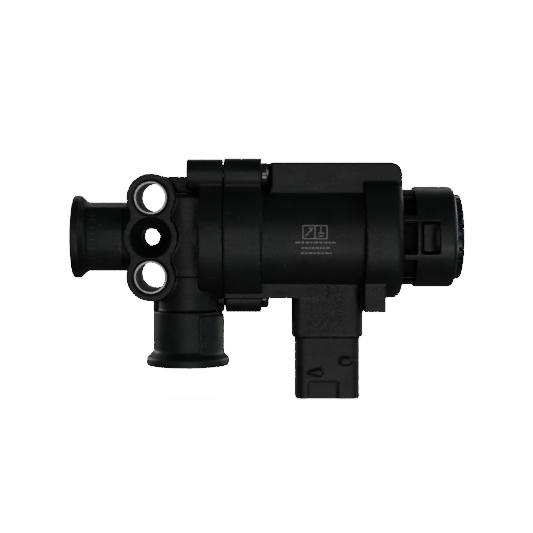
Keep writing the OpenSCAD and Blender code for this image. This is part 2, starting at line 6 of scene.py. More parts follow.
import bpy
from bpy.props import FloatProperty, FloatVectorProperty, IntProperty, PointerProperty
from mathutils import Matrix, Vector


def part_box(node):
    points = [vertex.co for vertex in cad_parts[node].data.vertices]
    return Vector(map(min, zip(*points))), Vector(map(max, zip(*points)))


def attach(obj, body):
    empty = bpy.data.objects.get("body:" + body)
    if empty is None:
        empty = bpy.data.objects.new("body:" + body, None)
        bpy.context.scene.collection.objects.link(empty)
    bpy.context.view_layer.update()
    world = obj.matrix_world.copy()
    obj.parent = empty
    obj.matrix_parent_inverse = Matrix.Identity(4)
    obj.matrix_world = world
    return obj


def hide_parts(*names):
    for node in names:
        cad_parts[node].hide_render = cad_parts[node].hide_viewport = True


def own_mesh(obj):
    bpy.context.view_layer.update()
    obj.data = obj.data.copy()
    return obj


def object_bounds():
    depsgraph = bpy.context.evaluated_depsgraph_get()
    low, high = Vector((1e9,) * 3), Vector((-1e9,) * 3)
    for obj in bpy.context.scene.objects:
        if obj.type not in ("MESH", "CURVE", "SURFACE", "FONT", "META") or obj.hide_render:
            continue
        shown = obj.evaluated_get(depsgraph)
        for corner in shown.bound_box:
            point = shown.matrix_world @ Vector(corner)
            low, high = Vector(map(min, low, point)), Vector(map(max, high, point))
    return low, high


bl_info = {
    "name": "Diverter Valve Finish",
    "version": (1, 0, 0),
    "blender": (4, 5, 0),
    "location": "View3D > Sidebar > Valve",
    "description": "Builds the visible shells, fittings and finishes of a diverter valve",
    "category": "Object",
}

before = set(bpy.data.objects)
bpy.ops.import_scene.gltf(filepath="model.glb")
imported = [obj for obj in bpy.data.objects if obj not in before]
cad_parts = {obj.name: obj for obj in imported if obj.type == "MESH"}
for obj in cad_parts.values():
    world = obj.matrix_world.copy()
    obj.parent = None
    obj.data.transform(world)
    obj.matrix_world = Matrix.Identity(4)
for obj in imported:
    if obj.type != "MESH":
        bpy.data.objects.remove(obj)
BOX_AT_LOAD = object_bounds()
LOW = BOX_AT_LOAD[0]

MM = 0.001
AXIS_Y = (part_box("vent_cap")[0].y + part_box("vent_cap")[1].y) / 2

# Turns that lay a piece made about Z along the depth, or along the valve axis.
TURN_TO_Y = (math.radians(90), 0, 0)
TURN_TO_X = (0, math.radians(90), 0)

# Shells rebuilt as one skin: the grid of each in millimetres, and limits for all of them.
VOXELS = {
    "valve_body": 0.32, "coil_housing": 0.37, "vent_cap": 0.28, "vent_carrier": 0.29,
    "end_disc": 0.19, "flange_screw_top": 0.14, "flange_screw_bottom": 0.14,
}
SMOOTH_PASSES = 2
TRIANGLE_LIMIT = 185000
MERGE_WITHIN = 0.002 * MM
FLAT_WITHIN = math.radians(0.4)

# Ports and flange screws.
DOWN_PORT_X = 10.7 * MM
PORT_BORE_R = 7.25 * MM
THREAD_HEIGHT = 0.3 * MM
THREAD_ROOT = 0.2 * MM                     # how deep the ridge is sunk in the wall
THREAD_START = 1.0 * MM
THREAD_FOOT, THREAD_TIP = 0.45, 0.08       # half widths of the ridge, in pitches
STEPS_PER_TURN = 48
SCREW_R = 2.0 * MM
SCREW_PITCH = 1.2 * MM
SCREW_TURNS = 12
SCREW_LEAD = 1.5 * MM
# Painted reflection and shade: each screw's zinc is darkened for the dark surroundings it
# reflects, the lower screw more for the shadow it sits in.
SCREW_PAINTED_SHADES = {"flange_screw_top": 0.2, "flange_screw_bottom": 0.1}

# Mounting sleeves.
SLEEVE_WALL = 0.85 * MM
SLEEVE_BEVEL = 0.28 * MM
SLEEVE_SHADE = 0.7
BORE_SHADE_START = 10.5 * MM                   # painted shade in the sleeve bores begins this far from the middle of the boss

# Coil and return spring.
WIRE_D = 0.6 * MM
WIRE_FILL = 0.49                           # drawn radius of a turn, in wire diameters
WINDING_DEPTH = 4.5 * MM
TAIL_R = 0.3 * MM
SPRING_WIRE_R = 0.45 * MM
SPRING_TURNS = 5

# Marks, all in millimetres. A bar is its x, z, length, width and turn in degrees.
SYMBOL_X, SYMBOL_Z, SYMBOL_LINE = 49.5, 1.7, 0.34
SYMBOL_HEIGHT = 0.54                       # as a share of the symbol's width
DASH_GAP, DASH_HEIGHT = 0.3, 0.5
DASH_ROWS = (                              # x, z, length and the dashes' widths in turn
    (43.6, -1.4, 12.1, (1.5, 0.9, 1.2, 0.6)),
    (45.4, -3.05, 8.6, (0.7, 1.1, 0.5)),
    (45.3, -4.6, 9.2, (1.0, 0.6, 1.3, 0.8)),
)
INLINE_PORT_BARS = [(-17.6, z, 1.5, 0.3) for z in (6.6, 5.4, 3.0, 1.2, -0.6, -3.2, -4.6, -6.4)]
ARROW_BARS = [
    (-9.5, -2.2, 4.4, 0.34, 90), (-10.2, -3.7, 2.0, 0.34, 45), (-8.8, -3.7, 2.0, 0.34, -45),
]
DOWN_PORT_BARS = [(x, -32.6, 0.3, 1.4) for x in (14.6, 15.6, 16.6)]
STROKE_STEP, STROKE_CUTS = 0.4, 20         # length between cuts, and most cuts in one bar
STROKE_AHEAD = 5 * MM                      # from the front of the valve, before it is laid on
MARK_SINK = 0.05 * MM
RAISED_RISE = 0.3 * MM
RAISED_SINK = 0.1 * MM
RAISED_SHADE = 2.2

# Patch left by a worn mould, on the front of the connector block.
PATCH_X = 53.0 * MM
PATCH_UP = 27.5 * MM                       # from the foot of the plug socket
PATCH_FRONT = 6.6 * MM                     # from the valve axis

# Colours of what is mostly hidden, of dirt, and of the painted shade deep in the sleeve bores.
DUST = (0.22, 0.22, 0.21)
TARNISH = (0.5, 0.44, 0.33)
PAINTED_BORE_SHADE = (0.06, 0.04, 0.022)
FIBRE = (0.008, 0.008, 0.009)
SILICONE = (0.09, 0.02, 0.014)
NYLON = (0.66, 0.62, 0.5)
TIN = (0.72, 0.7, 0.64)
RING_RUBBER = (0.012, 0.012, 0.013)
SEAL_RUBBER = (0.05, 0.03, 0.022)

# Stage, in metres and watts.
AIM = (35 * MM, AXIS_Y, -12 * MM)
WHITE, COOL, COOLER = (1, 1, 1), (0.94, 0.97, 1), (0.8, 0.9, 1)
LIGHTS = (                                 # place, size, power and tint
    ("front_light", (0.02, -0.75, 0.06), (0.5, 0.2), 0.5, WHITE),
    ("low_light", (0.2, -0.6, -0.32), (0.6, 0.25), 0.95, WHITE),
    ("left_light", (-0.7, -0.35, 0.25), (0.35, 0.5), 0.22, COOL),
    ("right_light", (0.75, -0.2, 0.2), (0.3, 0.5), 0.65, COOLER),
    ("back_light", (0.1, 0.9, 0.75), (0.8, 0.4), 1.2, WHITE),
    ("back_left_light", (-0.75, 0.55, 0.2), (0.4, 0.4), 2.6, WHITE),
    ("back_right_light", (0.8, 0.5, 0.15), (0.4, 0.4), 2.2, WHITE),
)
FLOOR_LIGHT_PLACE, FLOOR_LIGHT_AIM = (0, 0.3, 2.0), (0, 0.3, 0)
FLOOR_LIGHT_SIZE, FLOOR_LIGHT_POWER = (3, 3), 1500.0
FLOOR_SIZE = 6
FLOOR_GAP = 0.2 * MM
FLOOR_CUTS = 24
FLOOR_CURVE_START = 1.6
FLOOR_GLOW = 14.0
FILL_LEVEL = 0.06                          # the world's light on the valve
BACKDROP_LEVEL = 45.0                      # the world as seen past the valve


# ---- Working helpers ----


def deselect():
    """Leaves nothing selected, so that an operator acts only on what is picked next."""
    for item in bpy.context.selected_objects:
        item.select_set(False)


def pick(piece):
    """Makes a piece the only selected object and the active one."""
    deselect()
    piece.select_set(True)
    bpy.context.view_layer.objects.active = piece


def named(piece, name):
    """Names a new piece and its mesh."""
    piece.name = name
    piece.data.name = name
    return piece


def start(name):
    """Takes the primitive that was just added as a new piece."""
    return named(bpy.context.active_object, name)


def settle(piece):
    """Moves a piece's place, turn and scale into its mesh."""
    pick(piece)
    bpy.ops.object.transform_apply(location=True, rotation=True, scale=True)
    return piece


def modify(piece, kind, **settings):
    """Adds a modifier, sets it and applies it."""
    pick(piece)
    tool = piece.modifiers.new(kind.title(), kind)
    for key, value in settings.items():
        setattr(tool, key, value)
    bpy.ops.object.modifier_apply(modifier=tool.name)
    return piece


def in_edit(piece, *steps):
    """Runs edit-mode steps on the whole of a piece."""
    pick(piece)
    bpy.ops.object.mode_set(mode="EDIT")
    bpy.ops.mesh.select_all(action="SELECT")
    for step in steps:
        step()
    bpy.ops.object.mode_set(mode="OBJECT")
    return piece


def outward():
    """Turns every face outwards."""
    bpy.ops.mesh.normals_make_consistent(inside=False)


def smooth(piece, degrees=35):
    """Shades a piece smooth, apart from edges sharper than the angle."""
    pick(piece)
    bpy.ops.object.shade_smooth_by_angle(angle=math.radians(degrees))
    return piece


def copy_of(node, name):
    """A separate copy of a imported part, with its doubled points merged."""
    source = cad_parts[node]
    piece = source.copy()
    piece.data = source.data.copy()
    bpy.context.scene.collection.objects.link(piece)
    world = source.matrix_world.copy()
    piece.parent = None
    piece.matrix_world = world
    named(piece, name)
    in_edit(
        piece,
        lambda: bpy.ops.mesh.remove_doubles(threshold=MERGE_WITHIN),
        lambda: bpy.ops.mesh.dissolve_limited(angle_limit=FLAT_WITHIN),
    )
    return piece


def remoulded(node, name):
    """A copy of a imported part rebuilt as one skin, with soft edges and fillets."""
    piece = copy_of(node, name)
    modify(piece, "TRIANGULATE")
    modify(piece, "REMESH", mode="VOXEL", voxel_size=VOXELS[node] * MM, adaptivity=0.0)
    modify(piece, "SMOOTH", factor=0.5, iterations=SMOOTH_PASSES)
    triangles = sum(len(face.vertices) - 2 for face in piece.data.polygons)
    if triangles > TRIANGLE_LIMIT:
        modify(piece, "DECIMATE", ratio=TRIANGLE_LIMIT / triangles)
    pick(piece)
    bpy.ops.object.shade_smooth()
    return piece


def finish_piece(piece, material, body, slot, *nodes):
    """Gives a piece its finish, the body it moves with and the parts it stands for."""
    piece.data.materials.clear()
    piece.data.materials.append(material)
    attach(piece, body)
    if nodes:
        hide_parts(*nodes)
    return piece


def place_at(piece, place, turn=(0, 0, 0)):
    """Turns and moves a piece that was made about the origin."""
    piece.location = place
    piece.rotation_euler = turn
    return settle(piece)


def joined(name, pieces):
    """One piece from several."""
    deselect()
    for piece in pieces:
        piece.select_set(True)
    bpy.context.view_layer.objects.active = pieces[0]
    bpy.ops.object.join()
    return named(bpy.context.active_object, name)


def close_ends(piece):
    """Caps the open ends of a wound piece and turns its faces outwards."""
    return in_edit(
        piece,
        lambda: bpy.ops.mesh.select_all(action="DESELECT"),
        lambda: bpy.ops.mesh.select_non_manifold(),
        lambda: bpy.ops.mesh.fill_holes(sides=20),
        lambda: bpy.ops.mesh.select_all(action="SELECT"),
        outward,
    )


def wind(piece, rise, turns):
    """Winds a profile about Z, rising this far in all over this many turns."""
    modify(
        piece, "SCREW", axis="Z", angle=math.tau * turns, screw_offset=rise,
        steps=turns * STEPS_PER_TURN, render_steps=turns * STEPS_PER_TURN, iterations=1,
        use_merge_vertices=False,
    )
    return close_ends(piece)


def coat(node, material):
    """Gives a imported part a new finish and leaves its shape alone."""
    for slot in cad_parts[node].material_slots:
        slot.material = material


# ---- Finishes ----


class Finish:
    """A material under construction: its nodes, its shader and short ways to add to them."""

    def __init__(self, name):
        self.material = bpy.data.materials.new(name)
        self.material.use_nodes = True
        self.nodes = self.material.node_tree.nodes
        self.links = self.material.node_tree.links
        self.shader = self.nodes["Principled BSDF"]
        self.place = self.nodes.new("ShaderNodeTexCoord").outputs["Object"]

    def join(self, output, socket):
        """Joins an output to a socket."""
        self.links.new(output, socket)

    def noise(self, feature_mm, detail=4.0, stretch=(1, 1, 1)):
        """Noise whose features are about this many millimetres across."""
        turn = self.nodes.new("ShaderNodeMapping")
        turn.inputs["Scale"].default_value = stretch
        self.join(self.place, turn.inputs["Vector"])
        node = self.nodes.new("ShaderNodeTexNoise")
        node.inputs["Scale"].default_value = 1 / (feature_mm * MM)
        node.inputs["Detail"].default_value = detail
        self.join(turn.outputs[0], node.inputs["Vector"])
        return node.outputs["Fac"]

    def cells(self, spacing_mm):
        """Distance to the nearest of scattered points, in cell widths."""
        node = self.nodes.new("ShaderNodeTexVoronoi")
        node.inputs["Scale"].default_value = 1 / (spacing_mm * MM)
        self.join(self.place, node.inputs["Vector"])
        return node.outputs["Distance"]

    def band(self, value, low, high, start=0.0, end=1.0):
        """Maps low to high of a value onto start to end, held at both ends."""
        node = self.nodes.new("ShaderNodeMapRange")
        node.inputs["From Min"].default_value = low
        node.inputs["From Max"].default_value = high
        node.inputs["To Min"].default_value = start
        node.inputs["To Max"].default_value = end
        self.join(value, node.inputs["Value"])
        return node.outputs["Result"]

    def sums(self, kind, a, b):
        """A sum, product or other function of two values, either of which may be a number."""
        node = self.nodes.new("ShaderNodeMath")
        node.operation = kind
        for socket, value in zip(node.inputs, (a, b)):
            if isinstance(value, (int, float)):
                socket.default_value = value
            else:
                self.join(value, socket)
        return node.outputs[0]

    def blend(self, share, first, second):
        """A colour between two, by a share."""
        node = self.nodes.new("ShaderNodeMix")
        node.data_type = "RGBA"
        self.join(share, node.inputs["Factor"])
        for key, value in (("A", first), ("B", second)):
            socket = next(s for s in node.inputs if s.name == key and s.type == "RGBA")
            if isinstance(value, tuple):
                socket.default_value = (*value[:3], 1)
            else:
                self.join(value, socket)
        return next(s for s in node.outputs if s.type == "RGBA")

    def parts(self):
        """The three parts of the place on the piece, in metres."""
        node = self.nodes.new("ShaderNodeSeparateXYZ")
        self.join(self.place, node.inputs[0])
        return node.outputs

    def worn_edges(self):
        """How far a point stands proud of what is round it."""
        shape = self.nodes.new("ShaderNodeNewGeometry")
        return self.band(shape.outputs["Pointiness"], 0.53, 0.62)

    def near(self, value, middle, full, none, most=1.0):
        """The most within one distance of a middle value, falling to 0 at a second one."""
        away = self.sums("ABSOLUTE", self.sums("SUBTRACT", value, middle), 0)
        return self.band(away, full, none, most, 0.0)

    def bump(self, height, strength, depth_mm):
        """Lets a height roughen the surface, up to this many millimetres."""
        node = self.nodes.new("ShaderNodeBump")
        node.inputs["Strength"].default_value = strength
        node.inputs["Distance"].default_value = depth_mm * MM
        self.join(height, node.inputs["Height"])
        self.join(node.outputs["Normal"], self.shader.inputs["Normal"])

    def colour(self, output):
        """Takes the base colour from an output."""
        self.join(output, self.shader.inputs["Base Color"])

    def rough(self, output):
        """Takes the roughness from an output."""
        self.join(output, self.shader.inputs["Roughness"])

    def set(self, **values):
        """Sets the shader's own sockets, named with underscores for spaces."""
        for key, value in values.items():
            self.shader.inputs[key.replace("_", " ")].default_value = value


def lighter(colour, factor):
    """A colour times a factor, which may also be below 1."""
    return tuple(min(1.0, c * factor) for c in colour)


def moulded_plastic(name, tone, roughness, grain_mm=0.28, patch=False):
    """Glass-filled black plastic: a fine spark texture, cloudy gloss, dust and rubbed edges."""
    look = Finish(name)
    cloud = look.noise(7.0, 3.0)
    grain = look.noise(grain_mm, 5.0)
    flow = look.noise(2.2, 4.0, (0.25, 1, 1))
    base = look.blend(look.band(cloud, 0.3, 0.7), lighter(tone, 0.82), lighter(tone, 1.22))
    base = look.blend(look.band(grain, 0.52, 0.7, 0.0, 0.5), base, lighter(tone, 1.9))
    specks = look.sums(
        "MULTIPLY",
        look.band(look.cells(1.7), 0.045, 0.075, 1.0, 0.0),
        look.band(look.noise(4.5, 2.0), 0.5, 0.6),
    )
    base = look.blend(specks, base, DUST)
    base = look.blend(
        look.sums("MULTIPLY", look.worn_edges(), look.band(flow, 0.3, 0.7, 0.25, 0.7)),
        base,
        lighter(tone, 3.4),
    )
    height = look.sums("ADD", grain, look.sums("MULTIPLY", flow, 0.6))
    gloss = look.band(look.sums("ADD", cloud, flow), 0.7, 1.3, roughness - 0.07, roughness + 0.09)
    if patch:
        spots, height = cast_patch(look, height)
        base = look.blend(spots, base, lighter(tone, 0.3))
        gloss = look.sums("SUBTRACT", gloss, look.sums("MULTIPLY", spots, 0.16))
    look.colour(base)
    look.rough(gloss)
    look.set(Specular_IOR_Level=0.42)
    look.bump(height, 0.5, 0.05)
    return look.material


def cast_patch(look, height):
    """Pitted patch on the front of the connector block, where the mould is worn."""
    x, y, z = look.parts()
    patch_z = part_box("coil_housing")[0].z + PATCH_UP
    inside = look.sums(
        "MULTIPLY",
        look.near(x, PATCH_X, 4 * MM, 8 * MM),
        look.near(z, patch_z, 6 * MM, 9 * MM),
    )
    front_y = AXIS_Y - PATCH_FRONT
    front = look.band(y, front_y, front_y + 0.4 * MM, 1, 0)
    inside = look.sums("MULTIPLY", inside, front)
    pits = look.band(look.noise(0.75, 3.0), 0.54, 0.6)
    spots = look.sums("MULTIPLY", pits, look.band(inside, 0.1, 0.7))
    return spots, look.sums("SUBTRACT", height, look.sums("MULTIPLY", spots, 1.6))


def glossy_plastic(name, tone):
    """Polished black plastic with faint swirls and a cool sheen."""
    look = Finish(name)
    swirl = look.noise(3.0, 3.0)
    look.colour(look.blend(look.band(swirl, 0.3, 0.7), tone, lighter(tone, 1.8)))
    look.rough(look.band(look.noise(0.8, 5.0), 0.3, 0.7, 0.2, 0.32))
    look.set(Specular_IOR_Level=0.5, Coat_Weight=0.12, Coat_Roughness=0.12)
    look.bump(look.noise(0.5, 3.0), 0.12, 0.02)
    return look.material


def plated_steel(name, tone, roughness, streaks=(1, 1, 1), stain=0.5, bore_depth=0.0):
    """Zinc or bright steel with drawing lines, a cloudy plating and a little tarnish.

    A sleeve's bore gets painted shade, darker nearer its middle than the bore depth.
    """
    look = Finish(name)
    cloud = look.noise(2.4, 4.0)
    lines = look.noise(0.25, 5.0, streaks)
    bright = look.blend(look.band(cloud, 0.35, 0.7), lighter(tone, 0.86), lighter(tone, 1.06))
    tarnish = look.band(look.noise(1.5, 6.0), 0.58, 0.72, 0.0, stain)
    base = look.blend(tarnish, bright, TARNISH)
    # Painted shade deep in a sleeve's bore, darkest within about half the bore depth of its
    # middle.
    if bore_depth:
        painted_bore_shade = look.near(look.parts()[1], AXIS_Y, bore_depth * 0.45, bore_depth, 0.9)
        base = look.blend(painted_bore_shade, base, PAINTED_BORE_SHADE)
    look.colour(base)
    worn = look.sums("ADD", cloud, lines)
    look.rough(look.band(worn, 0.7, 1.3, roughness - 0.08, roughness + 0.12))
    look.set(Metallic=0.92)
    look.bump(lines, 0.3, 0.02)
    return look.material


def moulded_rubber(name, tone):
    """Matte rubber with a dusty bloom."""
    look = Finish(name)
    bloom = look.noise(1.8, 5.0)
    look.colour(look.blend(look.band(bloom, 0.4, 0.75), tone, lighter(tone, 1.9)))
    look.rough(look.band(bloom, 0.3, 0.7, 0.6, 0.85))
    look.bump(look.noise(0.2, 4.0), 0.4, 0.03)
    return look.material


def wound_copper(name, tone, pitch_mm):
    """Enamelled copper wire: fine turns side by side along the coil, with painted shade in the
    grooves between them.
    """
    look = Finish(name)
    turn = look.nodes.new("ShaderNodeTexWave")
    turn.wave_type = "BANDS"
    turn.bands_direction = "X"
    # A band pattern repeats every tau / 20 at a scale of 1.
    turn.inputs["Scale"].default_value = math.tau / 20 / (pitch_mm * MM)
    turn.inputs["Distortion"].default_value = 0.4
    look.join(look.place, turn.inputs["Vector"])
    bands = turn.outputs["Fac"]
    patchy = look.blend(look.band(look.noise(2.0), 0.3, 0.7), lighter(tone, 0.8), tone)
    # Painted shade: the grooves between turns are darkened to a fifth of the copper.
    look.colour(look.blend(look.band(bands, 0.0, 0.45, 0.75, 0.0), patchy, lighter(tone, 0.2)))
    look.rough(look.band(bands, 0, 1, 0.5, 0.26))
    look.set(Metallic=0.85)
    look.bump(bands, 0.9, 0.1)
    return look.material


def nylon(name, tone):
    """Natural nylon, slightly translucent, with faint flow lines."""
    look = Finish(name)
    flow = look.noise(2.6, 4.0, (1, 1, 0.3))
    look.colour(look.blend(look.band(flow, 0.3, 0.7), lighter(tone, 0.85), tone))
    look.rough(look.band(flow, 0.3, 0.7, 0.4, 0.55))
    look.set(Subsurface_Weight=0.1, Subsurface_Radius=(0.002, 0.0015, 0.001))
    look.bump(look.noise(0.3), 0.25, 0.03)
    return look.material


def sintered_fibre(name, tone):
    """Dark open fibre of a silencer: tangled strands, with painted shade in the gaps between them.
    """
    look = Finish(name)
    strands = look.noise(0.55, 8.0, (1, 1, 0.5))
    gaps = look.band(look.cells(0.6), 0.1, 0.5)
    # Painted shade: the gaps between strands are darkened.
    solid = look.sums("MULTIPLY", gaps, look.band(strands, 0.35, 0.6))
    look.colour(look.blend(solid, lighter(tone, 0.22), tone))
    look.rough(look.band(strands, 0.3, 0.7, 0.8, 0.95))
    look.bump(look.sums("ADD", strands, gaps), 0.9, 0.2)
    return look.material


def etched_mark(name, tone):
    """Laser-etched plastic: a pale, slightly patchy grey."""
    look = Finish(name)
    patchy = look.noise(0.22, 4.0)
    look.colour(look.blend(look.band(patchy, 0.35, 0.65), lighter(tone, 0.6), lighter(tone, 1.2)))
    look.rough(look.band(patchy, 0.3, 0.7, 0.6, 0.8))
    look.bump(patchy, 0.3, 0.02)
    return look.material


def pale_floor(name, tone):
    """Plain pale ground that glows evenly."""
    look = Finish(name)
    look.colour(look.blend(look.noise(300.0, 2.0), lighter(tone, 0.99), tone))
    look.set(Roughness=0.9, Specular_IOR_Level=0.1, Emission_Strength=FLOOR_GLOW)
    look.set(Emission_Color=(*tone, 1))
    return look.material


# ---- Sizes and colours ----


class ValveColours(bpy.types.PropertyGroup):
    """Base colours of the finishes."""

    plastic: FloatVectorProperty(
        name="Moulded plastic", description="Colour of the moulded shells",
        default=(0.0125, 0.0135, 0.0142), size=3, min=0, max=1, subtype="COLOR",
    )
    gloss: FloatVectorProperty(
        name="End disc", description="Colour of the glossy end disc",
        default=(0.006, 0.008, 0.014), size=3, min=0, max=1, subtype="COLOR",
    )
    zinc: FloatVectorProperty(
        name="Zinc plating", description="Colour of the sleeves and the screws",
        default=(0.74, 0.75, 0.75), size=3, min=0, max=1, subtype="COLOR",
    )
    steel: FloatVectorProperty(
        name="Magnetic steel", description="Colour of the plunger, the core and the yoke",
        default=(0.56, 0.56, 0.57), size=3, min=0, max=1, subtype="COLOR",
    )
    copper: FloatVectorProperty(
        name="Copper wire", description="Colour of the coil winding",
        default=(0.72, 0.30, 0.12), size=3, min=0, max=1, subtype="COLOR",
    )
    mark: FloatVectorProperty(
        name="Etched mark", description="Colour of the etched flow symbol",
        default=(0.34, 0.35, 0.33), size=3, min=0, max=1, subtype="COLOR",
    )
    ground: FloatVectorProperty(
        name="Ground", description="Colour of the ground",
        default=(0.93, 0.93, 0.93), size=3, min=0, max=1, subtype="COLOR",
    )


class ValveSizes(bpy.types.PropertyGroup):
    """Sizes of the details that are added to the shells."""

    thread_pitch: FloatProperty(
        name="Thread pitch", description="Pitch of the port threads",
        default=1.5 * MM, min=0.5 * MM, max=2.5 * MM, unit="LENGTH",
    )
    thread_turns: IntProperty(
        name="Thread turns", description="Turns of thread in each port",
        default=7, min=3, max=9,
    )
    mark_width: FloatProperty(
        name="Mark width", description="Width of the etched flow symbol",
        default=7.2 * MM, min=3 * MM, max=12 * MM, unit="LENGTH",
    )
    mark_rise: FloatProperty(
        name="Mark rise", description="How far the etched mark stands off the barrel",
        default=0.02 * MM, min=0.005 * MM, max=0.1 * MM, unit="LENGTH",
    )


class CameraSettings(bpy.types.PropertyGroup):
    """Place and lens of the camera."""

    distance: FloatProperty(
        name="Distance", description="Distance from the camera to the valve axis",
        default=430 * MM, min=0.1, max=2, unit="LENGTH",
    )
    lens: FloatProperty(
        name="Lens", description="Focal length", default=93.7, min=20, max=200, unit="CAMERA",
    )
    across: FloatProperty(
        name="Across", description="Place of the camera along the valve",
        default=35.5 * MM, unit="LENGTH",
    )
    height: FloatProperty(
        name="Height", description="Height of the camera above the valve axis",
        default=10.7 * MM, unit="LENGTH",
    )
    drop: FloatProperty(
        name="Drop", description="Shift of the picture below the lens centre",
        default=-0.121, min=-0.3, max=0.3,
    )
    slide: FloatProperty(
        name="Slide", description="Shift of the picture to the right of the lens centre",
        default=-0.003, min=-0.3, max=0.3,
    )


# ---- Stage ----


def area_light(name, place, aim, size, power, tint=WHITE):
    """A soft rectangular light that faces a point."""
    deselect()
    bpy.ops.object.light_add(type="AREA", location=place)
    lamp = bpy.context.active_object
    lamp.name = name
    lamp.data.shape = "RECTANGLE"
    lamp.data.size, lamp.data.size_y = size
    lamp.data.energy = power
    lamp.data.color = tint
    lamp.rotation_euler = (Vector(aim) - Vector(place)).to_track_quat("-Z", "Y").to_euler()
    return lamp


class VALVE_OT_stage(bpy.types.Operator):
    """Set the ground, the lights and the camera"""

    bl_idname = "valve.stage"
    bl_label = "Stage"

    def execute(self, context):
        shot = context.scene.valve_camera
        deselect()
        bpy.ops.object.camera_add(
            location=(shot.across, AXIS_Y - shot.distance, shot.height), rotation=TURN_TO_Y,
        )
        camera = context.active_object
        camera.data.lens = shot.lens
        camera.data.sensor_width = 36
        camera.data.shift_y = shot.drop
        camera.data.shift_x = shot.slide
        camera.data.clip_start = 0.01
        context.scene.camera = camera

        self.ground(context)
        for name, place, size, power, tint in LIGHTS:
            area_light(name, place, AIM, size, power, tint)
        floor_light = area_light(
            "floor_light", FLOOR_LIGHT_PLACE, FLOOR_LIGHT_AIM, FLOOR_LIGHT_SIZE, FLOOR_LIGHT_POWER,
        )
        lit = bpy.data.collections.new("lit_ground")
        lit.objects.link(bpy.data.objects["studio_floor"])
        floor_light.light_linking.receiver_collection = lit
        self.surroundings(context)
        return {"FINISHED"}

    def surroundings(self, context):
        """A white world that is bright to the camera and only a faint fill to the valve."""
        world = bpy.data.worlds.new("studio")
        context.scene.world = world
        world.use_nodes = True
        back = world.node_tree.nodes["Background"]
        back.inputs["Color"].default_value = (1, 1, 1, 1)
        seen = world.node_tree.nodes.new("ShaderNodeLightPath")
        level = world.node_tree.nodes.new("ShaderNodeMapRange")
        level.inputs["To Min"].default_value = FILL_LEVEL
        level.inputs["To Max"].default_value = BACKDROP_LEVEL
        world.node_tree.links.new(seen.outputs["Is Camera Ray"], level.inputs["Value"])
        world.node_tree.links.new(level.outputs["Result"], back.inputs["Strength"])

    def ground(self, context):
        """A floor under the plug socket that curves up far behind the valve."""
        deselect()
        bpy.ops.mesh.primitive_plane_add(size=FLOOR_SIZE, location=(0, 0, LOW.z - FLOOR_GAP))
        floor = start("studio_floor")
        in_edit(floor, lambda: bpy.ops.mesh.subdivide(number_cuts=FLOOR_CUTS))
        for point in floor.data.vertices:
            past = point.co.y - FLOOR_CURVE_START
            if past > 0:
                point.co.z += past ** 2
        smooth(floor, 60)
        settle(floor)
        floor.data.materials.append(
            pale_floor("ground", tuple(context.scene.valve_colours.ground))
        )
        floor.visible_diffuse = False
        floor.visible_glossy = False
        floor.visible_shadow = False


# ---- Shells, fittings and marks ----


def ring(name, place, radius, wall, length, bevel):
    """A tube about Y with its wall inside the radius and rounded rims."""
    deselect()
    bpy.ops.mesh.primitive_cylinder_add(
        vertices=96, radius=radius, depth=length, end_fill_type="NOTHING",
        location=place, rotation=TURN_TO_Y,
    )
    tube = settle(start(name))
    in_edit(tube, outward)
    modify(tube, "SOLIDIFY", thickness=wall, offset=-1.0)
    modify(
        tube, "BEVEL", width=bevel, segments=3, limit_method="ANGLE",
        angle_limit=math.radians(50),
    )
    return smooth(tube)


def thread_ridge(name, radius, inward, pitch, turns):
    """The ridge of a thread about Z, from height 0 up, closed at both ends."""
    deselect()
    bpy.ops.mesh.primitive_plane_add(size=1, location=(0, 0, 0))
    ridge = start(name)
    side = -1 if inward else 1
    root, crest = radius - side * THREAD_ROOT, radius + side * THREAD_HEIGHT
    places = (
        (root, -THREAD_FOOT), (crest, -THREAD_TIP), (crest, THREAD_TIP), (root, THREAD_FOOT),
    )
    corners = sorted(ridge.data.vertices, key=lambda v: math.atan2(v.co.y, v.co.x))
    for point, (x, z) in zip(corners, places):
        point.co = (x, 0, (z + 0.5) * pitch)
    in_edit(ridge, lambda: bpy.ops.mesh.delete(type="ONLY_FACE"))
    return smooth(wind(ridge, pitch * turns, turns), 30)


def stroke(x, z, length, width, degrees=0.0):
    """A flat bar in front of the valve, along X before it is turned."""
    deselect()
    bpy.ops.mesh.primitive_plane_add(
        size=1, location=(x * MM, LOW.y - STROKE_AHEAD, z * MM),
        rotation=(math.radians(90), math.radians(-degrees), 0),
    )
    bar = start("stroke")
    bar.scale = (length * MM, width * MM, 1)
    settle(bar)
    cuts = min(max(2, round(length / STROKE_STEP)), STROKE_CUTS)
    return in_edit(bar, lambda: bpy.ops.mesh.subdivide(number_cuts=cuts))


def wrapped(name, strokes, shell, rise, sink):
    """Lays flat bars on the front of a shell, standing this far off it."""
    mark = joined(name, [stroke(*bar) for bar in strokes])
    modify(
        mark, "SHRINKWRAP", target=bpy.data.objects[shell], wrap_method="PROJECT",
        use_project_x=False, use_project_y=True, use_project_z=False,
        use_negative_direction=False, use_positive_direction=True, offset=rise,
    )
    modify(mark, "SOLIDIFY", thickness=rise + sink, offset=-1.0)
    return mark


